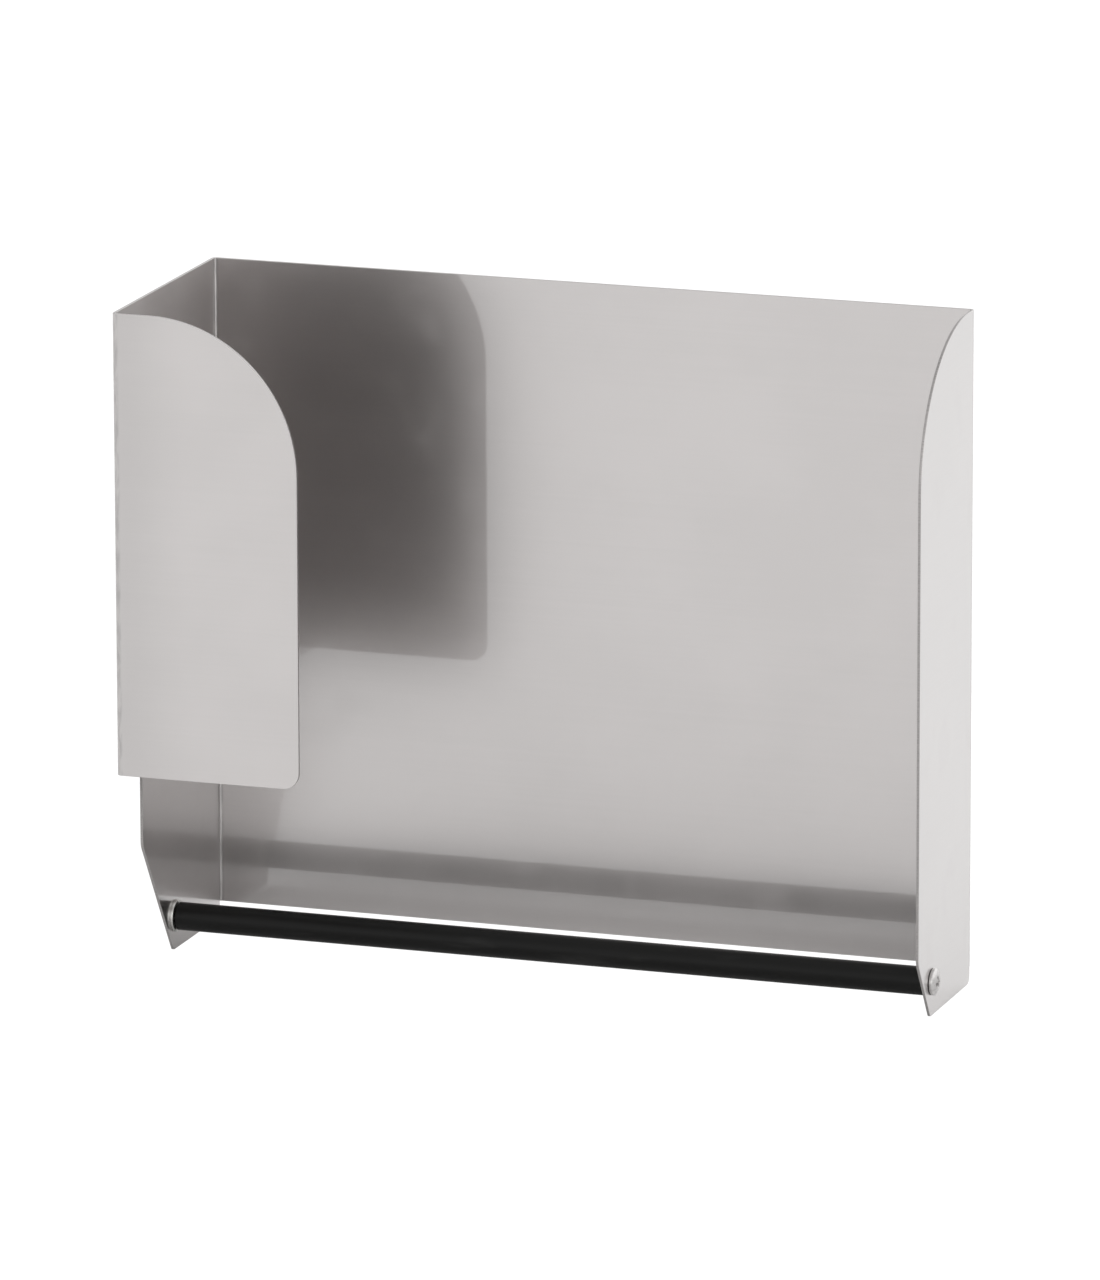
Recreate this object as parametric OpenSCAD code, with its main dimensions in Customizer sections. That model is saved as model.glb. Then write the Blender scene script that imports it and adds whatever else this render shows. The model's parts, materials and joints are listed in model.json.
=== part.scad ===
// Wall-held dispenser for film on a roll: a folded stainless sheet with an open front and a free roller
// bar across its lower edge. The origin is the centre of the back plate's rear face, which rests on the
// wall. +X is to the right, the front faces -Y, and +Z is up.

/* [Housing] */
// Outside width across the two cheeks
housing_w = 280; // [200:1:450]
// Height of the cheeks from their lower edge to the top
housing_h = 240; // [200:1:360]
// Depth from the wall to the front of the flap
housing_d = 100; // [85:1:160]
// Thickness of the sheet
sheet_t = 1; // [0.8:0.1:1.5]
// Inside radius of the three bends
bend_r = 0.8; // [0.5:0.1:2]
// How far the cheeks reach below the back plate
cheek_drop = 6; // [4:0.5:10]

/* [Front flap] */
// Width of the flap from the left cheek's outer face
flap_w = 67.5; // [62:0.5:110]
// Height of the flap's lower edge above the cheeks' lower edge
flap_rise = 76; // [60:1:100]
// Radius of the flap's lower free corner
flap_corner_r = 6; // [2:0.5:12]

/* [Cheeks] */
// Radius of the large round corner at the top of the flap and of the right cheek
crown_r = 54; // [30:1:56]
// Depth of the left cheek below the flap
left_d = 77.5; // [66:0.5:84]
// Depth of the right cheek
right_d = 62.5; // [58:0.5:80]
// Depth of the cheeks' pointed lower ends
tip_d = 48.2; // [46:0.1:54]
// Lean of the slanted lower front edges from the vertical
taper_angle = 33; // [28:1:36]
// Radius that breaks each pointed lower end
tip_r = 1.5; // [1:0.1:3]
// Radius of the blunt corner where a slanted edge begins
taper_corner_r = 6; // [2:0.5:12]
// Radius of each cheek's lower rear corner
heel_r = 3; // [1:0.5:4]

/* [Roller bar] */
// Diameter of the bar
bar_dia = 10; // [9:0.5:12]
// Depth of the bar's axis from the wall
bar_depth = 46.3; // [44:0.1:48]
// Height of the bar's axis above the cheeks' lower edge
bar_rise = 12.1; // [11:0.1:14]
// Chamfer on the bar's ends
bar_chamfer = 0.5; // [0.2:0.1:1]
// Free play left at each end of the bar and under each screw head
end_play = 0.2; // [0.1:0.05:0.4]

/* [Screws and washers] */
// Diameter of the screw shanks
shank_dia = 5; // [4:0.5:5]
// Diameter of the low pan heads
head_dia = 9.5; // [8:0.1:10]
// Height of the low pan heads
head_h = 2.2; // [2.1:0.1:3]
// Depth of the cross recess
recess_depth = 1.5; // [1.2:0.1:1.7]
// Length of each screw inside the bar
screw_grip = 12; // [8:1:20]
// Outside diameter of the washers
washer_dia = 11.5; // [10.5:0.1:12.5]
// Thickness of the washers
washer_t = 1; // [0.8:0.1:1.2]

/* [Hidden] */

$fn = 96;
STEEL = [0.74, 0.74, 0.73];
ZINC = [0.80, 0.81, 0.81];
BLACK = [0.09, 0.09, 0.09];

plate_h = housing_h - cheek_drop;
top_z = plate_h / 2;
plate_low_z = -plate_h / 2;
low_z = plate_low_z - cheek_drop;
flap_low_z = low_z + flap_rise;
bend_out_r = bend_r + sheet_t;
half_w = housing_w / 2;

axis_z = low_z + bar_rise;
pivot_dia = shank_dia + 0.2;
washer_bore = shank_dia + 0.3;
thread_room = 0.04;
tap_run_out = 2;
bar_l = housing_w - 2 * (sheet_t + washer_t + end_play);
bar_end_x = bar_l / 2;
head_x = half_w + end_play;

crown_curve_r = 1.1 * head_dia;
rim_r = 0.6;
rim_x = head_dia / 2 - rim_r;
crown_drop = crown_curve_r - sqrt(pow(crown_curve_r, 2) - pow(rim_x, 2));
rim_z = head_h - crown_drop - rim_r;
slot_w = 1.3;
slot_top_l = 5;
slot_foot_l = 2.2;
tip_l = 1;
tip_narrowing = 1.5;
overcut = 1;

function unit(v) = v / norm(v);

// What rounding the corner p, between the points a and b, to radius r takes away
module corner_waste(a, p, b, r) {
    to_a = unit(a - p);
    to_b = unit(b - p);
    inward = unit(to_a + to_b);
    half_angle = acos(to_a * to_b) / 2;
    reach = r / tan(half_angle);
    centre = p + inward * r / sin(half_angle);
    difference() {
        polygon([p + to_a * reach, centre, p + to_b * reach, p - inward * r]);
        translate(centre) circle(r = r);
    }
}

// A convex outline: each corner is [x, y, radius], and a radius of 0 stays sharp
module rounded_outline(corners) {
    n = len(corners);
    points = [for (c = corners) [c[0], c[1]]];
    difference() {
        polygon(points);
        for (i = [0 : n - 1]) {
            if (corners[i][2] > 0) {
                corner_waste(points[(i + n - 1) % n], points[i], points[(i + 1) % n], corners[i][2]);
            }
        }
    }
}

// Stands an outline of [depth from the wall, z] up as a sheet whose outer face is at x = 0, going to +X
module side_panel() {
    rotate([90, 0, -90]) mirror([0, 0, 1]) linear_extrude(sheet_t) children();
}

// Stands an outline of [x, z] up as a sheet whose front face is at y = 0, going to +Y
module face_panel() {
    translate([0, sheet_t, 0]) rotate([90, 0, 0]) linear_extrude(sheet_t) children();
}

// A quarter bend whose hollow side faces +X and -Y, about the Z axis
module bend(height) {
    linear_extrude(height) intersection() {
        difference() {
            circle(r = bend_out_r);
            circle(r = bend_r);
        }
        translate([-bend_out_r, 0]) square(bend_out_r);
    }
}

// The lower front corner of a cheek of depth d: where its slanted edge begins
function taper_start(d) = [d, low_z + (d - tip_d) / tan(taper_angle), taper_corner_r];

// The part of a cheek below the height cut_z
module cheek_foot(d, cut_z) {
    rounded_outline([
        [bend_out_r, cut_z, 0],
        [d, cut_z, 0],
        taper_start(d),
        [tip_d, low_z, tip_r],
        [bend_out_r, low_z, heel_r]
    ]);
}

// The hole for the bar's screw
module pivot_hole() {
    translate([bar_depth, axis_z]) circle(d = pivot_dia);
}

module left_cheek() {
    side_panel() difference() {
        union() {
            cheek_foot(left_d, flap_low_z);
            translate([bend_out_r, flap_low_z])
                square([housing_d - 2 * bend_out_r, top_z - flap_low_z]);
        }
        pivot_hole();
    }
}

module right_cheek() {
    mirror([1, 0, 0]) side_panel() difference() {
        union() {
            cheek_foot(right_d, flap_low_z);
            rounded_outline([
                [bend_out_r, flap_low_z, 0],
                [right_d, flap_low_z, 0],
                [right_d, top_z, crown_r],
                [bend_out_r, top_z, 0]
            ]);
        }
        pivot_hole();
    }
}

module flap() {
    face_panel() rounded_outline([
        [bend_out_r, flap_low_z, 0],
        [flap_w, flap_low_z, flap_corner_r],
        [flap_w, top_z, crown_r],
        [bend_out_r, top_z, 0]
    ]);
}

module back_plate() {
    translate([-half_w + bend_out_r, -sheet_t, plate_low_z])
        cube([housing_w - 2 * bend_out_r, sheet_t, plate_h]);
}

module housing() {
    color(STEEL) union() {
        back_plate();
        translate([-half_w, 0, 0]) left_cheek();
        translate([half_w, 0, 0]) right_cheek();
        translate([-half_w, -housing_d, 0]) flap();
        translate([-half_w + bend_out_r, -bend_out_r, plate_low_z]) bend(plate_h);
        translate([half_w - bend_out_r, -bend_out_r, plate_low_z]) rotate([0, 0, -90]) bend(plate_h);
        translate([-half_w + bend_out_r, -housing_d + bend_out_r, flap_low_z])
            rotate([0, 0, 90]) bend(top_z - flap_low_z);
    }
}

// Puts what is built along +Z, from the origin outwards, on the bar's axis at x, pointing to +X
module on_axis(x) {
    translate([x, -bar_depth, axis_z]) rotate([0, 90, 0]) children();
}

module roller_bar() {
    hole_depth = screw_grip + tap_run_out;
    tapped_dia = shank_dia + 2 * thread_room;
    color(BLACK) on_axis(-bar_end_x) difference() {
        union() {
            cylinder(h = bar_chamfer, d1 = bar_dia - 2 * bar_chamfer, d2 = bar_dia);
            translate([0, 0, bar_chamfer]) cylinder(h = bar_l - 2 * bar_chamfer, d = bar_dia);
            translate([0, 0, bar_l - bar_chamfer])
                cylinder(h = bar_chamfer, d1 = bar_dia, d2 = bar_dia - 2 * bar_chamfer);
        }
        translate([0, 0, -overcut]) cylinder(h = hole_depth + overcut, d = tapped_dia);
        translate([0, 0, bar_l - hole_depth]) cylinder(h = hole_depth + overcut, d = tapped_dia);
    }
}

// Half the head's section: a flat foot, a rolled rim and a domed crown
module pan_section() {
    intersection() {
        union() {
            square([head_dia / 2, rim_z]);
            square([rim_x, head_h]);
            translate([rim_x, rim_z]) circle(r = rim_r);
        }
        square([head_dia, head_h]);
        translate([0, head_h - crown_curve_r]) circle(r = crown_curve_r);
    }
}

// One arm of the cross recess, narrower at its foot
module recess_arm() {
    rotate([90, 0, 0]) linear_extrude(slot_w, center = true) polygon([
        [-slot_foot_l / 2, head_h - recess_depth],
        [slot_foot_l / 2, head_h - recess_depth],
        [slot_top_l / 2, head_h],
        [slot_top_l / 2, head_h + overcut],
        [-slot_top_l / 2, head_h + overcut],
        [-slot_top_l / 2, head_h]
    ]);
}

// A cross-recess pan-head screw along Z: the head's foot is at z = 0 and the shank points to -Z
module pan_screw() {
    shank_l = head_x - bar_end_x + screw_grip;
    difference() {
        rotate_extrude() pan_section();
        recess_arm();
        rotate([0, 0, 90]) recess_arm();
    }
    translate([0, 0, tip_l - shank_l]) cylinder(h = shank_l - tip_l, d = shank_dia);
    translate([0, 0, -shank_l]) cylinder(h = tip_l, d1 = shank_dia - tip_narrowing, d2 = shank_dia);
}

module right_screw() {
    color(ZINC) on_axis(head_x) pan_screw();
}

module left_screw() {
    color(ZINC) mirror([1, 0, 0]) on_axis(head_x) pan_screw();
}

// A plain washer lying against the inner face of the right cheek
module inner_washer() {
    on_axis(half_w - sheet_t - washer_t) difference() {
        cylinder(h = washer_t, d = washer_dia);
        translate([0, 0, -overcut]) cylinder(h = washer_t + 2 * overcut, d = washer_bore);
    }
}

module right_washer() {
    color(ZINC) inner_washer();
}

module left_washer() {
    color(ZINC) mirror([1, 0, 0]) inner_washer();
}

housing();
roller_bar();
left_screw();
right_screw();
left_washer();
right_washer();
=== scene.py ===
import json
import math

import bmesh
import bpy
from mathutils import Matrix, Vector
from mathutils.geometry import tessellate_polygon


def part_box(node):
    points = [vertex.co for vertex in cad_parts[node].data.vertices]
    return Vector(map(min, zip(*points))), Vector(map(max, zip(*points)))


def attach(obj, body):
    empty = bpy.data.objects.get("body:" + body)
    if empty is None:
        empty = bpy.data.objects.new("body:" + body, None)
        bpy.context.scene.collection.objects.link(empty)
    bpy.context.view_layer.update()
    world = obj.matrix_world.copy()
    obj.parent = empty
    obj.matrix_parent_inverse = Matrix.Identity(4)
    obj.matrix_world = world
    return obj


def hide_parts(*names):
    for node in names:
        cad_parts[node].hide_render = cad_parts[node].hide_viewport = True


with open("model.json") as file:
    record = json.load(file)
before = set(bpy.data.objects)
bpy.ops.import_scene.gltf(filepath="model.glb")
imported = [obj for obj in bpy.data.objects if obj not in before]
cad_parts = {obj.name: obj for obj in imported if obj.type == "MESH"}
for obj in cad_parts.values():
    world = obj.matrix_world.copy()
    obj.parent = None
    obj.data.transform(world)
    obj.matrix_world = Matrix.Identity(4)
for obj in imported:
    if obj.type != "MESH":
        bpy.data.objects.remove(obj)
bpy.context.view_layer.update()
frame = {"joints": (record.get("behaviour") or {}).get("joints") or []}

MM = 0.001

# The housing's sheet, in metres. Its overall size and the roller's axis come from the frame.
SHEET_T = 1.0 * MM
BEND_R = 0.8 * MM
FLAP_W = 67.5 * MM
FLAP_RISE = 76.0 * MM
FLAP_CORNER_R = 6.0 * MM
CHEEK_DROP = 6.0 * MM
CROWN_R = 54.0 * MM
LEFT_D = 77.5 * MM
RIGHT_D = 62.5 * MM
TIP_D = 48.2 * MM
TAPER_ANGLE = math.radians(33)
TIP_R = 1.5 * MM
TAPER_CORNER_R = 6.0 * MM
HEEL_R = 3.0 * MM
PIVOT_R = 2.6 * MM
# How far the cut edges of the sheet are broken
EDGE_BREAK = 0.14 * MM
EDGE_STEPS = 4
BEND_STEPS = 12
HOLE_STEPS = 64
ARC_STEP = 0.6 * MM
ARC_STEPS_MIN = 6
# How close a point has to be to a line of the blank to count as on it
ON_LINE = 1e-7
# How far along the blank a cut edge's outward direction is measured
NORMAL_STEP = 0.01 * MM

BEND_OUT_R = BEND_R + SHEET_T
BEND_L = (BEND_R + SHEET_T / 2) * math.pi / 2

# The turned pieces
TURNED_STEPS = 96
BAR_CHAMFER = 0.5 * MM
BAR_CHAMFER_EDGE_R = 0.2 * MM
BAR_BORE_R = 2.54 * MM
BAR_BORE_L = 14.0 * MM
BAR_END_EDGE_R = 0.12 * MM
DRILL_TIP_L = 1.4 * MM
SHANK_R = 2.5 * MM
SHANK_L = 14.4 * MM
SHANK_TIP_L = 0.9 * MM
SHANK_TIP_EDGE_R = 0.15 * MM
SHANK_TIP_R = 0.3 * MM
WASHER_BORE_R = 2.65 * MM
# The washer's corners: the bore and the rim by the cheek, then the rim and the bore by the bar
WASHER_EDGE_RS = (0.1 * MM, 0.12 * MM, 0.3 * MM, 0.2 * MM)
END_PLAY = 0.2 * MM
HEAD_R = 4.75 * MM
HEAD_H = 2.2 * MM
HEAD_FOOT_R = 0.08 * MM
HEAD_RIM_R = 0.5 * MM
CROWN_CURVE_R = 10.45 * MM
CROWN_STEPS = 14
RECESS_DEPTH = 1.5 * MM
RECESS_ARM_L = 2.5 * MM
RECESS_FOOT_L = 1.1 * MM
RECESS_ARM_W = 1.25 * MM
RECESS_FOOT_W = 0.8 * MM
RECESS_CORNER_R = 0.18 * MM
RECESS_EDGE = 0.09 * MM
RECESS_POINT_L = 0.25 * MM
RECESS_OVERCUT = 0.6 * MM
RECESS_TURN = {"right_screw": math.radians(14), "left_screw": math.radians(-31)}
# Only edges of a screw that turn more than this are bevelled
SHARP_ANGLE = math.radians(32)

# How far from a bend the sheet is strained, and how far from the flap's front bend the painted shade reaches
STRAIN_REACH = 0.9 * MM
FLAP_SHADE_REACH = 28.0 * MM

# Finishes, as linear reflectances
STEEL_TONE = (0.469, 0.447, 0.441)
STEEL_TONE_LIGHT = (0.487, 0.464, 0.458)
# Also the colour of the painted shade on the bends and near the flap's front bend
EDGE_TONE_DARK = (0.24, 0.232, 0.228)
EDGE_TONE_BRIGHT = (0.42, 0.405, 0.40)
SCREW_TONE = (0.41, 0.40, 0.395)
SCREW_TONE_LIGHT = (0.48, 0.47, 0.465)
WASHER_TONE = (0.44, 0.44, 0.42)
WASHER_TONE_LIGHT = (0.58, 0.58, 0.56)
BLACK_TONE = (0.0035, 0.0035, 0.0033)
BLACK_TONE_WORN = (0.0085, 0.0085, 0.0082)
# Painted shade: how much the bends darken, standing in for the dark reflection they catch, and how much the
# sheet darkens towards the flap's front bend
PAINTED_BEND_SHADE = 0.62
PAINTED_FLAP_SHADE = 0.22

# Roughness, what is added to it in places, and the steel's faint mirror over its haze
STEEL_ROUGHNESS = (0.274, 0.300)
CLOUDY_ROUGHNESS = 0.02
SMEARED_ROUGHNESS = 0.035
SCRATCHED_ROUGHNESS = 0.05
STRAINED_ROUGHNESS = 0.10
MIRROR_IOR = 2.0
MIRROR_ROUGHNESS = 0.035
BURNISHED_ROUGHNESS = 0.30
TORN_ROUGHNESS = 0.46
RUBBED_SMOOTHER = 0.12
SCREW_ROUGHNESS = 0.27
WASHER_ROUGHNESS = 0.30
PLATING_ROUGHNESS = 0.05
BLACK_ROUGHNESS = (0.30, 0.40)
BLACK_RUBBED_ROUGHNESS = 0.05
BLACK_SPECULAR = 0.13

# Grain, in cells per metre: along the blank, up it and through the sheet, or along X, Y and Z
GRAIN_CELLS = (900, 4200, 900)
ROLLING_CELLS = (5, 950, 700)
ROLLING_SHARE = 0.2
CLOUD_CELLS = (16, 21, 900)
SMEAR_CELLS = (52, 38, 900)
SMEAR_TURN = 0.5
SCRATCH_CELLS = (46, 3300, 800)
SCRATCH_TURN = 0.09
PEEL_CELLS = (900, 150, 600)
TEAR_CELLS = (5200, 5200, 380)
DRIFT_CELLS = (160, 160, 0)
DRIFT_H = 0.35 * MM
SCREW_GRAIN = 5000.0
WASHER_GRAIN = 4000.0
PLATING_CLOUD = 420.0
DRAWN_CELLS = (14, 2300, 2300)
BLACK_GRAIN = 3000.0
RUB_CELLS = (34, 240, 240)

# Height of the grain's relief
GRAIN_H = 0.003 * MM
SCRATCH_H = -0.002 * MM
PEEL_H = 0.006 * MM
TEAR_H = 0.02 * MM
PLATING_H = 0.004 * MM
DRAWN_H = 0.010 * MM
BLACK_GRAIN_H = 0.005 * MM

# The studio
WORLD_LEVEL = 1.98
# The light's share at the far left and overhead, and the spans of X and Z over which it falls to that
WORLD_LEFT = 0.5
WORLD_LEFT_SPAN = (-0.9, -0.1)
WORLD_TOP = 0.6
WORLD_TOP_SPAN = (0.1, 0.8)
FLOOR_Z = -0.8
FLOOR_TONE = 0.9
BENCH_TONE = 0.88
BENCH_GAP = 1.0 * MM
GROUND_HALF = 30.0
CAMERA_AT = (1.27454, -3.75805, 0.9553)
CAMERA_AZIMUTH = math.radians(18.9395)
CAMERA_ELEVATION = math.radians(13.6848)
CAMERA_ROLL = math.radians(0.1383)
CAMERA_LENS = 327.68
CAMERA_SENSOR = 36.0


# ---------------------------------------------------------------- scene


def camera():
    scene = bpy.context.scene
    data = bpy.data.cameras.new("camera")
    data.sensor_width = CAMERA_SENSOR
    data.lens = CAMERA_LENS
    data.clip_end = 100.0
    cam = bpy.data.objects.new("camera", data)
    scene.collection.objects.link(cam)
    level = math.cos(CAMERA_ELEVATION)
    sight = Vector((-math.sin(CAMERA_AZIMUTH) * level, math.cos(CAMERA_AZIMUTH) * level,
                    -math.sin(CAMERA_ELEVATION)))
    turn = sight.to_track_quat("-Z", "Y").to_matrix().to_4x4() @ Matrix.Rotation(-CAMERA_ROLL, 4, "Z")
    cam.matrix_world = Matrix.Translation(CAMERA_AT) @ turn
    scene.camera = cam


def studio():
    """Soft light from all round, weaker from the left and from above."""
    scene = bpy.context.scene
    scene.view_settings.view_transform = "Standard"
    world = bpy.data.worlds.new("studio")
    world.use_nodes = True
    scene.world = world
    nodes = world.node_tree.nodes
    links = world.node_tree.links
    parts = nodes.new("ShaderNodeSeparateXYZ")
    links.new(nodes.new("ShaderNodeTexCoord").outputs["Generated"], parts.inputs["Vector"])
    nodes["Background"].inputs["Color"].default_value = (1, 1, 1, 1)
    level = nodes["Background"].inputs["Strength"]
    for axis, (low, high), at_low, at_high in (
        ("X", WORLD_LEFT_SPAN, WORLD_LEFT, 1.0),
        ("Z", WORLD_TOP_SPAN, WORLD_LEVEL, WORLD_LEVEL * WORLD_TOP),
    ):
        share = nodes.new("ShaderNodeMapRange")
        share.inputs["From Min"].default_value = low
        share.inputs["From Max"].default_value = high
        share.inputs["To Min"].default_value = at_low
        share.inputs["To Max"].default_value = at_high
        links.new(parts.outputs[axis], share.inputs["Value"])
        if axis == "X":
            both = nodes.new("ShaderNodeMath")
            both.operation = "MULTIPLY"
            links.new(both.outputs["Value"], level)
        links.new(share.outputs["Result"], both.inputs["XZ".index(axis)])


def ground(name, z, tone):
    mesh = bpy.data.meshes.new(name)
    corners = ((-1, -1), (1, -1), (1, 1), (-1, 1))
    mesh.from_pydata([(x * GROUND_HALF, y * GROUND_HALF, z) for x, y in corners], [], [(0, 1, 2, 3)])
    obj = bpy.data.objects.new(name, mesh)
    bpy.context.scene.collection.objects.link(obj)
    r = Recipe(name)
    r.put("Base Color", (tone, tone, tone, 1))
    r.put("Roughness", 1.0)
    r.put("Specular IOR Level", 0.0)
    mesh.materials.append(r.mat)
    return obj


def floor_and_bench():
    """The pale floor, and the bench the piece stood on, which only shows as a reflection in the steel."""
    ground("floor", FLOOR_Z, FLOOR_TONE)
    bench = ground("bench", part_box("housing")[0].z - BENCH_GAP, BENCH_TONE)
    bench.visible_camera = False
    bench.visible_diffuse = False
    bench.visible_shadow = False


# ---------------------------------------------------------------- material helpers


class Recipe:
    """A material with one Principled shader, and short ways to add the nodes that feed it."""

    def __init__(self, name):
        self.mat = bpy.data.materials.new(name)
        self.mat.use_nodes = True
        self.nodes = self.mat.node_tree.nodes
        self.links = self.mat.node_tree.links
        self.nodes.clear()
        out = self.nodes.new("ShaderNodeOutputMaterial")
        self.shader = self.nodes.new("ShaderNodeBsdfPrincipled")
        self.links.new(self.shader.outputs["BSDF"], out.inputs["Surface"])

    def put(self, socket, value):
        """Sets or links one input of the shader."""
        self.feed(self.shader.inputs[socket], value)

    def feed(self, socket, value):
        if isinstance(value, bpy.types.NodeSocket):
            self.links.new(value, socket)
        else:
            socket.default_value = value

    def place(self):
        """Object coordinates, in metres."""
        return self.nodes.new("ShaderNodeTexCoord").outputs["Object"]

    def attribute(self, name):
        node = self.nodes.new("ShaderNodeAttribute")
        node.attribute_name = name
        return node.outputs["Vector"]

    def scaled(self, vector, scale, turn=0.0):
        node = self.nodes.new("ShaderNodeMapping")
        node.inputs["Scale"].default_value = scale
        node.inputs["Rotation"].default_value = (0, 0, turn)
        self.links.new(vector, node.inputs["Vector"])
        return node.outputs["Vector"]

    def noise(self, vector, scale=1.0, detail=2.0, roughness=0.5):
        node = self.nodes.new("ShaderNodeTexNoise")
        node.inputs["Scale"].default_value = scale
        node.inputs["Detail"].default_value = detail
        node.inputs["Roughness"].default_value = roughness
        self.links.new(vector, node.inputs["Vector"])
        return node.outputs["Fac"]

    def ramp(self, value, from_low, from_high, to_low=0.0, to_high=1.0):
        """Maps a value from one range to another, smoothly, and holds it inside the second."""
        node = self.nodes.new("ShaderNodeMapRange")
        node.interpolation_type = "SMOOTHSTEP"
        node.inputs["From Min"].default_value = from_low
        node.inputs["From Max"].default_value = from_high
        node.inputs["To Min"].default_value = to_low
        node.inputs["To Max"].default_value = to_high
        self.links.new(value, node.inputs["Value"])
        return node.outputs["Result"]

    def calc(self, operation, *values):
        node = self.nodes.new("ShaderNodeMath")
        node.operation = operation
        for socket, value in zip(node.inputs, values):
            self.feed(socket, value)
        return node.outputs["Value"]

    def parts(self, vector):
        node = self.nodes.new("ShaderNodeSeparateXYZ")
        self.links.new(vector, node.inputs["Vector"])
        return node.outputs["X"], node.outputs["Y"], node.outputs["Z"]

    def mix(self, factor, a, b):
        """A colour between a and b."""
        node = self.nodes.new("ShaderNodeMix")
        node.data_type = "RGBA"
        self.feed(node.inputs["Factor"], factor)
        colors = [s for s in node.inputs if s.type == "RGBA"]
        for socket, color in zip(colors, (a, b)):
            self.feed(socket, (*color, 1.0) if isinstance(color, tuple) else color)
        return next(s for s in node.outputs if s.type == "RGBA")

    def bump(self, height, distance, strength=1.0, under=None):
        node = self.nodes.new("ShaderNodeBump")
        node.inputs["Strength"].default_value = strength
        node.inputs["Distance"].default_value = distance
        self.links.new(height, node.inputs["Height"])
        if under is not None:
            self.links.new(under, node.inputs["Normal"])
        return node.outputs["Normal"]


# ---------------------------------------------------------------- materials


def near_bend(r, blank, start, reach):
    """1 on the bends that begin this far from the blank's middle, falling to 0 at this distance from them."""
    s = r.calc("ABSOLUTE", r.parts(blank)[0])
    away = r.calc("ABSOLUTE", r.calc("SUBTRACT", s, start + BEND_L / 2))
    return r.calc("SUBTRACT", 1.0, r.ramp(away, BEND_L / 2, BEND_L / 2 + reach))


def satin_steel(sheet):
    """Cold-rolled stainless sheet: a faint sharp mirror over a broad haze, rolling lines, light scratches and
    smears, and painted shade on the bends and towards the flap's front bend.
    """
    r = Recipe("satin_steel")
    blank = r.attribute("blank")
    grain = r.noise(r.scaled(blank, GRAIN_CELLS), detail=3.0, roughness=0.6)
    rolling = r.noise(r.scaled(blank, ROLLING_CELLS), detail=2.0)
    cloud = r.noise(r.scaled(blank, CLOUD_CELLS), detail=3.0, roughness=0.55)
    smear = r.noise(r.scaled(blank, SMEAR_CELLS, turn=SMEAR_TURN), detail=2.0)
    scratch = r.noise(r.scaled(blank, SCRATCH_CELLS, turn=SCRATCH_TURN), detail=1.0)
    scratched = r.ramp(scratch, 0.70, 0.76)
    rear, front = [near_bend(r, blank, start, STRAIN_REACH) for start in (sheet.plate_end, sheet.cheek_end)]
    strain = r.calc("MAXIMUM", rear, front)
    # Painted shade: the sheet darkens towards the flap's front bend, and at the same distance along the blank
    # on the right cheek
    flap_shade_mask = near_bend(r, blank, sheet.cheek_end, FLAP_SHADE_REACH)
    peel = r.noise(r.scaled(blank, PEEL_CELLS), detail=3.0)
    # Painted shade along the bends, broken up by the peel noise: it stands in for the dark reflection the
    # bends catch
    bend_shade_mask = r.calc("MULTIPLY", strain, r.ramp(peel, 0.30, 0.72))
    clouded = r.calc("MULTIPLY", cloud, 1 - ROLLING_SHARE)
    tone = r.calc("ADD", clouded, r.calc("MULTIPLY", rolling, ROLLING_SHARE))
    color = r.mix(r.ramp(tone, 0.36, 0.64), STEEL_TONE, STEEL_TONE_LIGHT)
    # Paints the shade near the flap's front bend, then the shade along the bends
    color = r.mix(r.calc("MULTIPLY", flap_shade_mask, PAINTED_FLAP_SHADE), color, EDGE_TONE_DARK)
    color = r.mix(r.calc("MULTIPLY", bend_shade_mask, PAINTED_BEND_SHADE), color, EDGE_TONE_DARK)
    r.put("Base Color", color)
    r.put("Metallic", 1.0)
    haze = r.ramp(grain, 0.3, 0.7, *STEEL_ROUGHNESS)
    for more in (
        r.ramp(cloud, 0.35, 0.65, 0.0, CLOUDY_ROUGHNESS),
        r.ramp(smear, 0.56, 0.72, 0.0, SMEARED_ROUGHNESS),
        r.calc("MULTIPLY", scratched, SCRATCHED_ROUGHNESS),
        r.calc("MULTIPLY", strain, STRAINED_ROUGHNESS),
    ):
        haze = r.calc("ADD", haze, more)
    r.put("Roughness", haze)
    r.put("Coat Weight", 1.0)
    r.put("Coat IOR", MIRROR_IOR)
    r.put("Coat Roughness", MIRROR_ROUGHNESS)
    low = r.bump(grain, GRAIN_H, 0.4)
    low = r.bump(scratched, SCRATCH_H, 0.5, low)
    r.put("Normal", r.bump(r.calc("MULTIPLY", peel, strain), PEEL_H, 1.0, low))
    return r.mat


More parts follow.
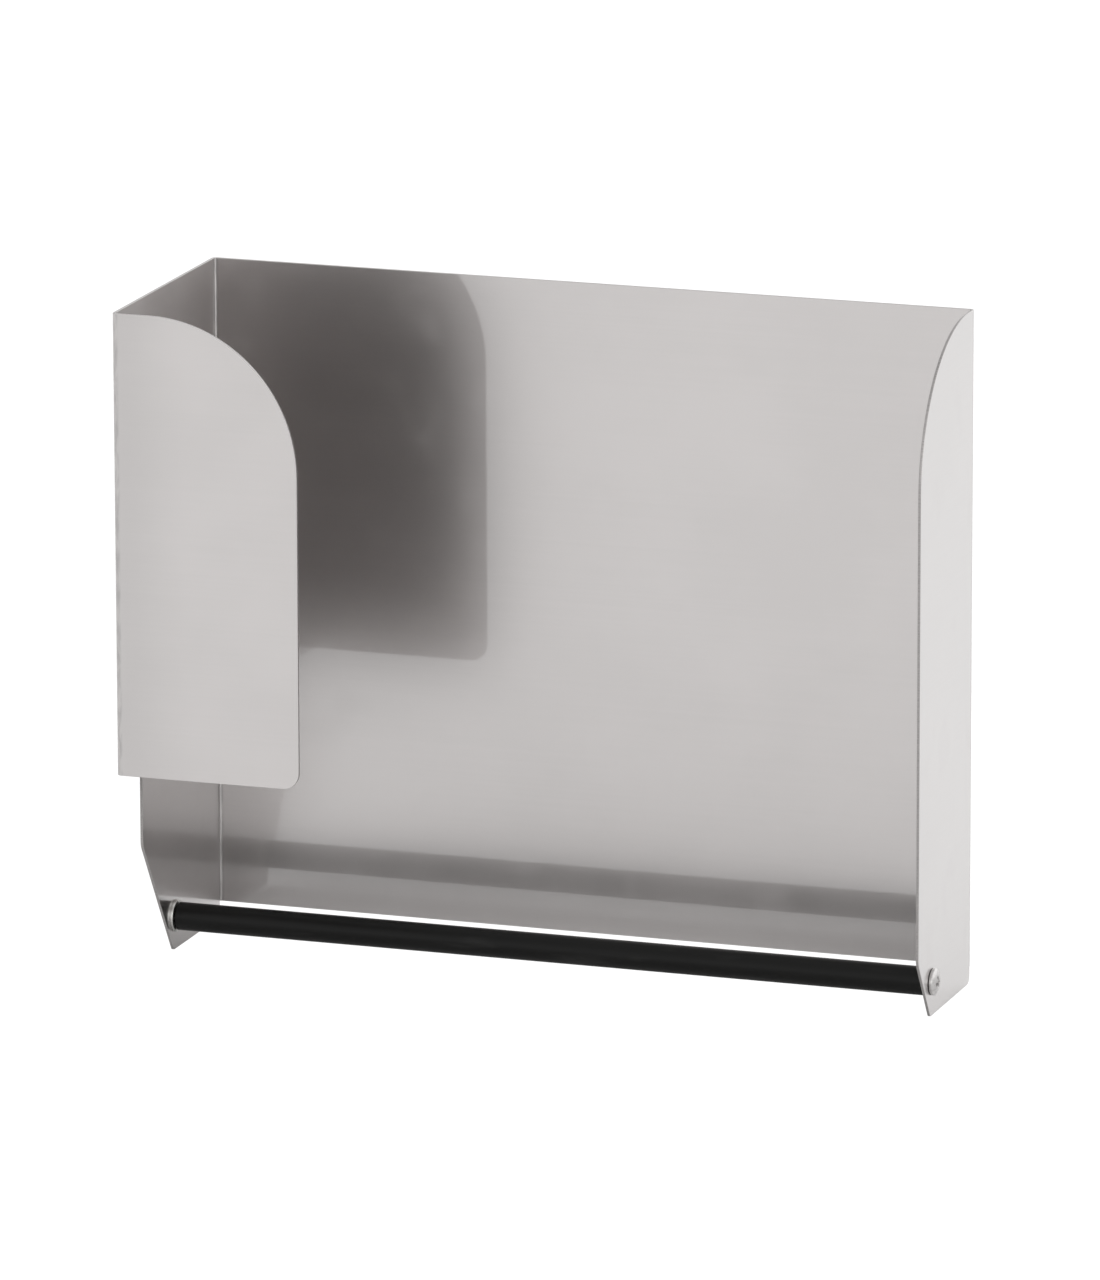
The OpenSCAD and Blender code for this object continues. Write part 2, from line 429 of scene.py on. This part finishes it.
def cut_edge():
    """The sheared edge of the sheet: a burnished band, a duller torn one, and rubbed corners."""
    r = Recipe("cut_edge")
    blank = r.attribute("blank")
    depth = r.parts(blank)[2]
    tear = r.noise(r.scaled(blank, TEAR_CELLS), detail=3.0, roughness=0.6)
    drift = r.noise(r.scaled(blank, DRIFT_CELLS), detail=2.0)
    band = r.calc("ADD", depth, r.calc("MULTIPLY", r.calc("SUBTRACT", drift, 0.5), DRIFT_H))
    torn = r.ramp(band, 0.30 * SHEET_T, 0.42 * SHEET_T)
    middle = r.calc("ABSOLUTE", r.calc("SUBTRACT", depth, SHEET_T / 2))
    rubbed = r.ramp(middle, SHEET_T / 2 - EDGE_BREAK, SHEET_T / 2 - 0.4 * EDGE_BREAK)
    plain = r.mix(r.ramp(tear, 0.3, 0.7, 0.0, 0.5), EDGE_TONE_DARK, STEEL_TONE)
    r.put("Base Color", r.mix(rubbed, plain, EDGE_TONE_BRIGHT))
    r.put("Metallic", 1.0)
    rough = r.ramp(torn, 0.0, 1.0, BURNISHED_ROUGHNESS, TORN_ROUGHNESS)
    rough = r.calc("ADD", rough, r.ramp(tear, 0.3, 0.7, -0.04, 0.05))
    r.put("Roughness", r.calc("SUBTRACT", rough, r.calc("MULTIPLY", rubbed, RUBBED_SMOOTHER)))
    r.put("Normal", r.bump(tear, TEAR_H, 0.8))
    return r.mat


def machined(name, tone, light, roughness, scale):
    """Plated steel with fine random grain and a slow change of tone."""
    r = Recipe(name)
    place = r.place()
    grain = r.noise(place, scale, 3.0, 0.6)
    cloud = r.noise(place, PLATING_CLOUD, 2.0)
    r.put("Base Color", r.mix(r.ramp(cloud, 0.35, 0.65), tone, light))
    r.put("Metallic", 1.0)
    rough = r.ramp(grain, 0.3, 0.7, roughness * 0.8, roughness * 1.25)
    r.put("Roughness", r.calc("ADD", rough, r.ramp(cloud, 0.4, 0.7, 0.0, PLATING_ROUGHNESS)))
    r.put("Normal", r.bump(grain, PLATING_H, 0.6))
    return r.mat


def black_bar():
    """Dull black bar with fine marks along it and a few lighter rubbed spots."""
    r = Recipe("black_bar")
    place = r.place()
    drawn = r.noise(r.scaled(place, DRAWN_CELLS), detail=3.0, roughness=0.6)
    grain = r.noise(place, BLACK_GRAIN, 2.0)
    rub = r.noise(r.scaled(place, RUB_CELLS), detail=3.0)
    rubbed = r.ramp(rub, 0.55, 0.75)
    r.put("Base Color", r.mix(rubbed, BLACK_TONE, BLACK_TONE_WORN))
    r.put("Specular IOR Level", BLACK_SPECULAR)
    rough = r.calc("ADD", r.ramp(drawn, 0.3, 0.7, *BLACK_ROUGHNESS), r.ramp(grain, 0.3, 0.7, -0.02, 0.03))
    r.put("Roughness", r.calc("ADD", rough, r.calc("MULTIPLY", rubbed, BLACK_RUBBED_ROUGHNESS)))
    low = r.bump(drawn, DRAWN_H, 0.6)
    r.put("Normal", r.bump(grain, BLACK_GRAIN_H, 0.5, low))
    return r.mat


# ---------------------------------------------------------------- outlines


def fillet(before, corner, after, radius):
    """Points of the arc that rounds a corner of an outline."""
    if radius <= 0:
        return [corner.copy()]
    u = (before - corner).normalized()
    v = (after - corner).normalized()
    half = u.angle(v) / 2
    centre = corner + (u + v).normalized() * (radius / math.sin(half))
    start = corner + u * (radius / math.tan(half)) - centre
    stop = corner + v * (radius / math.tan(half)) - centre
    sweep = start.angle(stop)
    if start.x * stop.y < start.y * stop.x:
        sweep = -sweep
    steps = max(ARC_STEPS_MIN, int(radius * abs(sweep) / ARC_STEP))
    points = []
    for i in range(steps + 1):
        c = math.cos(sweep * i / steps)
        s = math.sin(sweep * i / steps)
        points.append(centre + Vector((start.x * c - start.y * s, start.x * s + start.y * c)))
    return points


def rounded(corners):
    """A closed outline through [(x, y, radius)], with its corners rounded."""
    points = []
    for i, (x, y, r) in enumerate(corners):
        before = Vector(corners[i - 1][:2])
        after = Vector(corners[(i + 1) % len(corners)][:2])
        points += fillet(before, Vector((x, y)), after, r)
    return points


def new_object(name, bm):
    mesh = bpy.data.meshes.new(name)
    bm.to_mesh(mesh)
    bm.free()
    obj = bpy.data.objects.new(name, mesh)
    bpy.context.scene.collection.objects.link(obj)
    return obj


def settle(obj):
    """Makes the result of the object's modifiers its mesh."""
    graph = bpy.context.evaluated_depsgraph_get()
    mesh = bpy.data.meshes.new_from_object(obj.evaluated_get(graph), depsgraph=graph)
    obj.modifiers.clear()
    obj.data = mesh


def smooth(obj, bevel=0.0):
    """Smooth shading that keeps flat faces flat, after rounding the sharp edges by bevel."""
    for face in obj.data.polygons:
        face.use_smooth = True
    if bevel > 0:
        mod = obj.modifiers.new("edges", "BEVEL")
        mod.width = bevel
        mod.segments = 3
        mod.limit_method = "ANGLE"
        mod.angle_limit = SHARP_ANGLE
    obj.modifiers.new("shading", "WEIGHTED_NORMAL")
    settle(obj)


# ---------------------------------------------------------------- the folded sheet


class Sheet:
    """The flat blank of the housing and how it folds.

    On the blank, s runs along the unfolded sheet from the middle of the back plate, and z is the height.
    """

    def __init__(self, low, high):
        self.half_w = high.x
        self.depth = -low.y
        self.low_z = low.z
        self.top_z = high.z
        self.plate_low = low.z + CHEEK_DROP
        self.flap_low = low.z + FLAP_RISE
        self.plate_end = self.half_w - BEND_OUT_R
        self.cheek_start = self.plate_end + BEND_L
        self.cheek_end = self.cheek_start + self.depth - 2 * BEND_OUT_R
        self.flap_start = self.cheek_end + BEND_L

    def on_cheek(self, depth):
        """How far along the blank a point of a cheek is, at this depth from the wall."""
        return self.cheek_start + depth - BEND_OUT_R

    def on_flap(self, across):
        return self.flap_start + across - BEND_OUT_R

    def taper_z(self, depth):
        """The height of the cheeks' slanted lower edge at this depth."""
        return self.low_z + (depth - TIP_D) / math.tan(TAPER_ANGLE)

    def fold(self, s, z, h):
        """Where the point s, z of the blank goes, h below the outer face, and its outer normal."""
        side = 1.0 if s >= 0 else -1.0
        a = abs(s)
        if a <= self.plate_end:
            return Vector((s, -h, z)), Vector((0, 1, 0))
        if a < self.cheek_start:
            turn = (a - self.plate_end) / BEND_L * math.pi / 2
            n = Vector((side * math.sin(turn), math.cos(turn), 0))
            return Vector((side * self.plate_end, -BEND_OUT_R, z)) + n * (BEND_OUT_R - h), n
        if a <= self.cheek_end or side > 0:
            y = -BEND_OUT_R - (a - self.cheek_start)
            return Vector((side * (self.half_w - h), y, z)), Vector((side, 0, 0))
        if a < self.flap_start:
            turn = (a - self.cheek_end) / BEND_L * math.pi / 2
            n = Vector((-math.cos(turn), -math.sin(turn), 0))
            return Vector((-self.plate_end, -self.depth + BEND_OUT_R, z)) + n * (BEND_OUT_R - h), n
        x = -self.plate_end + (a - self.flap_start)
        return Vector((x, -self.depth + h, z)), Vector((0, -1, 0))

    def outline(self):
        """The blank's closed outline, counter-clockwise, with a point at every step of each bend."""

        def bend(start, stop, z):
            return [(start + (stop - start) * i / BEND_STEPS, z, 0) for i in range(BEND_STEPS + 1)]

        right = [
            (self.cheek_start, self.low_z, HEEL_R),
            (self.on_cheek(TIP_D), self.low_z, TIP_R),
            (self.on_cheek(RIGHT_D), self.taper_z(RIGHT_D), TAPER_CORNER_R),
            (self.on_cheek(RIGHT_D), self.top_z, CROWN_R),
        ]
        flap = [
            (-self.on_flap(FLAP_W), self.top_z, CROWN_R),
            (-self.on_flap(FLAP_W), self.flap_low, FLAP_CORNER_R),
        ]
        left = [
            (-self.on_cheek(LEFT_D), self.flap_low, 0),
            (-self.on_cheek(LEFT_D), self.taper_z(LEFT_D), TAPER_CORNER_R),
            (-self.on_cheek(TIP_D), self.low_z, TIP_R),
            (-self.cheek_start, self.low_z, HEEL_R),
        ]
        return rounded(
            bend(self.plate_end, self.cheek_start, self.plate_low) + right
            + bend(self.cheek_start, self.plate_end, self.top_z)
            + bend(-self.plate_end, -self.cheek_start, self.top_z)
            + bend(-self.cheek_end, -self.flap_start, self.top_z) + flap
            + bend(-self.flap_start, -self.cheek_end, self.flap_low) + left
            + bend(-self.cheek_start, -self.plate_end, self.plate_low)
        )

    def holes(self, axis_d, axis_z):
        """The holes for the roller's screws, clockwise, the left one first."""
        loops = []
        for side in (-1, 1):
            centre = Vector((side * self.on_cheek(axis_d), axis_z))
            angles = [-2 * math.pi * i / HOLE_STEPS for i in range(HOLE_STEPS)]
            loops.append([centre + Vector((math.cos(a), math.sin(a))) * PIVOT_R for a in angles])
        return loops


def inward(points):
    """For each point of a counter-clockwise outline, the step that moves its two edges in by 1."""
    steps = []
    for i in range(len(points)):
        before = (points[i] - points[i - 1]).normalized()
        after = (points[(i + 1) % len(points)] - points[i]).normalized()
        side = Vector((-before.y, before.x))
        m = (side + Vector((-after.y, after.x))).normalized()
        steps.append(m / max(0.35, m.dot(side)))
    return steps


def edge_profile():
    """Across a cut edge: how far in from the outline, how deep, and the normal's outward and facing parts."""
    rows = []
    for i in range(EDGE_STEPS + 1):
        c = math.cos(math.pi / 2 * i / EDGE_STEPS)
        s = math.sin(math.pi / 2 * i / EDGE_STEPS)
        rows.append((EDGE_BREAK * (1 - s), EDGE_BREAK * (1 - c), s, c))
    return rows + [(offset, SHEET_T - depth, s, -c) for offset, depth, s, c in reversed(rows)]


def cut_rim(bm, sheet, loop, normals):
    """The cut edge along one outline. Gives its first and last rings of vertices."""
    layer = bm.verts.layers.float_vector["blank"]
    rings = []
    for offset, depth, out_part, face_part in edge_profile():
        ring = []
        for point, step in zip(loop, inward(loop)):
            q = point + step * offset
            place, n = sheet.fold(q.x, q.y, depth)
            d = step.normalized() * -NORMAL_STEP
            ahead, _ = sheet.fold(q.x + d.x, q.y + d.y, depth)
            v = bm.verts.new(place)
            v[layer] = (q.x, q.y, depth)
            normals.append((n * face_part + (ahead - place).normalized() * out_part).normalized())
            ring.append(v)
        rings.append(ring)
    for ring, following in zip(rings, rings[1:]):
        for i in range(len(loop)):
            j = (i + 1) % len(loop)
            face = bm.faces.new((ring[i], ring[j], following[j], following[i]))
            face.material_index = 1
    return rings[0], rings[-1]


def bend_strips(bm, sheet, outline, ring):
    """Fills one face of the sheet along its three bends."""
    rear = [sheet.plate_end + BEND_L * i / BEND_STEPS for i in range(BEND_STEPS + 1)]
    front = [-(sheet.cheek_end + BEND_L * i / BEND_STEPS) for i in range(BEND_STEPS + 1)]
    mirrored = [-s for s in rear]
    for lines, low_z in ((rear, sheet.plate_low), (mirrored, sheet.plate_low), (front, sheet.flap_low)):
        ends = []
        for s in lines:
            here = [i for i, p in enumerate(outline) if abs(p.x - s) < ON_LINE]
            low = min(here, key=lambda i: abs(outline[i].y - low_z))
            top = min(here, key=lambda i: abs(outline[i].y - sheet.top_z))
            ends.append((ring[low], ring[top]))
        for (low0, top0), (low1, top1) in zip(ends, ends[1:]):
            bm.faces.new((low0, low1, top1, top0))


def flat_panels(bm, sheet, loops, rings):
    """Fills one face of the sheet between its bends. The loops are the outline and the two holes."""
    far = 2 * sheet.half_w + sheet.depth
    for start, stop, hole in (
        (-sheet.plate_end, sheet.plate_end, None),
        (sheet.cheek_start, far, 2),
        (-sheet.cheek_end, -sheet.cheek_start, 1),
        (-far, -sheet.flap_start, None),
    ):
        inside = [i for i, p in enumerate(loops[0]) if start - ON_LINE <= p.x <= stop + ON_LINE]
        shapes = [[loops[0][i].to_3d() for i in inside]]
        corners = [rings[0][i] for i in inside]
        if hole is not None:
            shapes.append([p.to_3d() for p in loops[hole]])
            corners += rings[hole]
        for triangle in tessellate_polygon(shapes):
            bm.faces.new([corners[i] for i in triangle])


def build_housing(sheet):
    place = frame["joints"][0]["pos_m"]
    loops = [sheet.outline()] + sheet.holes(-place[1], place[2])
    bm = bmesh.new()
    bm.verts.layers.float_vector.new("blank")
    normals = []
    rims = [cut_rim(bm, sheet, loop, normals) for loop in loops]
    for side in (0, 1):
        rings = [rim[side] for rim in rims]
        bend_strips(bm, sheet, loops[0], rings[0])
        flat_panels(bm, sheet, loops, rings)
    bmesh.ops.recalc_face_normals(bm, faces=bm.faces)
    for face in bm.faces:
        face.smooth = True
    obj = new_object("folded_sheet", bm)
    obj.data.normals_split_custom_set_from_vertices(normals)
    return obj


# ---------------------------------------------------------------- turned pieces


def turned(name, profile):
    """A solid turned about the Z axis. The profile is a closed outline of (radius, z)."""
    bm = bmesh.new()
    rings = []
    for p in profile:
        if p.x < 1e-9:
            rings.append([bm.verts.new((0, 0, p.y))])
            continue
        angles = [2 * math.pi * i / TURNED_STEPS for i in range(TURNED_STEPS)]
        rings.append([bm.verts.new((p.x * math.cos(a), p.x * math.sin(a), p.y)) for a in angles])
    for ring, following in zip(rings, rings[1:] + rings[:1]):
        if len(ring) == 1 and len(following) == 1:
            continue
        for i in range(TURNED_STEPS):
            j = i + 1
            around = [ring[i % len(ring)], ring[j % len(ring)],
                      following[j % len(following)], following[i % len(following)]]
            bm.faces.new(list(dict.fromkeys(around)))
    bmesh.ops.recalc_face_normals(bm, faces=bm.faces)
    return new_object(name, bm)


def lay_on_axis(obj, x, side):
    """Turns a piece built along Z to lie on the roller's axis at x, pointing to side times +X."""
    _, y, z = frame["joints"][0]["pos_m"]
    turn = Matrix.Rotation(side * math.pi / 2, 4, "Y")
    obj.data.transform(Matrix.Translation((x, y, z)) @ turn)
    obj.data.update()


def build_bar():
    low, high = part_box("roller_bar")
    half_l = high.x
    radius = (high.z - low.z) / 2
    half = [
        (0, half_l - BAR_BORE_L - DRILL_TIP_L, 0),
        (BAR_BORE_R, half_l - BAR_BORE_L, 0),
        (BAR_BORE_R, half_l, BAR_END_EDGE_R),
        (radius - BAR_CHAMFER, half_l, BAR_END_EDGE_R),
        (radius, half_l - BAR_CHAMFER, BAR_CHAMFER_EDGE_R),
    ]
    bar = turned("roller_bar_skin", rounded([(r, -z, c) for r, z, c in half] + half[::-1]))
    smooth(bar)
    lay_on_axis(bar, 0.0, 1)
    return bar


def recess_cutter():
    """The cross recess: a plus sign whose arms get shorter and thinner towards its foot."""

    def cross(a, width):
        w = width / 2
        corners = [(a, -w), (a, w), (w, w), (w, a), (-w, a), (-w, w),
                   (-a, w), (-a, -w), (-w, -w), (-w, -a), (w, -a), (w, -w)]
        return rounded([(x, y, RECESS_CORNER_R) for x, y in corners])

    bm = bmesh.new()
    slope_l = (RECESS_ARM_L - RECESS_FOOT_L) / RECESS_DEPTH
    slope_w = (RECESS_ARM_W - RECESS_FOOT_W) / RECESS_DEPTH
    over = RECESS_OVERCUT
    foot_z = HEAD_H - RECESS_DEPTH
    levels = [
        (HEAD_H + over, RECESS_ARM_L + slope_l * over, RECESS_ARM_W + slope_w * over),
        (foot_z, RECESS_FOOT_L, RECESS_FOOT_W),
    ]
    top, foot = [[bm.verts.new((p.x, p.y, z)) for p in cross(a, w)] for z, a, w in levels]
    point = bm.verts.new((0, 0, foot_z - RECESS_POINT_L))
    bm.faces.new(top)
    for i in range(len(top)):
        j = (i + 1) % len(top)
        bm.faces.new((top[i], top[j], foot[j], foot[i]))
        bm.faces.new((foot[i], foot[j], point))
    bmesh.ops.recalc_face_normals(bm, faces=bm.faces)
    return new_object("cutter", bm)


def build_screw(name, side):
    seat_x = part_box("housing")[1].x + END_PLAY
    spread = math.asin(HEAD_R / CROWN_CURVE_R)
    crown = []
    for i in range(CROWN_STEPS):
        a = spread * i / CROWN_STEPS
        crown.append((CROWN_CURVE_R * math.sin(a), HEAD_H - CROWN_CURVE_R * (1 - math.cos(a)), 0))
    rim_z = HEAD_H - CROWN_CURVE_R * (1 - math.cos(spread))
    corners = [
        (0, -SHANK_L, 0),
        (SHANK_R - SHANK_TIP_L, -SHANK_L, SHANK_TIP_EDGE_R),
        (SHANK_R, -SHANK_L + SHANK_TIP_L, SHANK_TIP_R),
        (SHANK_R, 0, 0),
        (HEAD_R, 0, HEAD_FOOT_R),
        (HEAD_R, rim_z, HEAD_RIM_R),
    ]
    screw = turned(name + "_skin", rounded(corners + crown[::-1]))
    cutter = recess_cutter()
    cut = screw.modifiers.new("recess", "BOOLEAN")
    cut.object = cutter
    cut.operation = "DIFFERENCE"
    cut.solver = "EXACT"
    settle(screw)
    bpy.data.objects.remove(cutter)
    smooth(screw, RECESS_EDGE)
    screw.data.transform(Matrix.Rotation(RECESS_TURN[name], 4, "Z"))
    lay_on_axis(screw, side * seat_x, side)
    return screw


def build_washer(name, side):
    low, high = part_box(name)
    radius = (high.z - low.z) / 2
    thick = high.x - low.x
    corners = ((WASHER_BORE_R, 0), (radius, 0), (radius, thick), (WASHER_BORE_R, thick))
    profile = rounded([(r, z, edge) for (r, z), edge in zip(corners, WASHER_EDGE_RS)])
    washer = turned(name + "_skin", profile)
    smooth(washer)
    lay_on_axis(washer, high.x if side > 0 else low.x, -side)
    return washer


def dress(obj, body, node, slot, *materials):
    """Puts a piece on its body in place of its CAD node."""
    for mat in materials:
        obj.data.materials.append(mat)
    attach(obj, body)
    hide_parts(node)


camera()
studio()
floor_and_bench()
sheet = Sheet(*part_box("housing"))
dress(build_housing(sheet), "housing", "housing", "satin_sheet", satin_steel(sheet), cut_edge())
dress(build_bar(), "roller", "roller_bar", "bar_black", black_bar())
screw_metal = machined("bright_screw", SCREW_TONE, SCREW_TONE_LIGHT, SCREW_ROUGHNESS, SCREW_GRAIN)
washer_metal = machined("washer_steel", WASHER_TONE, WASHER_TONE_LIGHT, WASHER_ROUGHNESS, WASHER_GRAIN)
for name, side in (("left", -1), ("right", 1)):
    screw = name + "_screw"
    washer = name + "_washer"
    dress(build_screw(screw, side), "roller", screw, "bright_screw", screw_metal)
    dress(build_washer(washer, side), "housing", washer, "washer_steel", washer_metal)
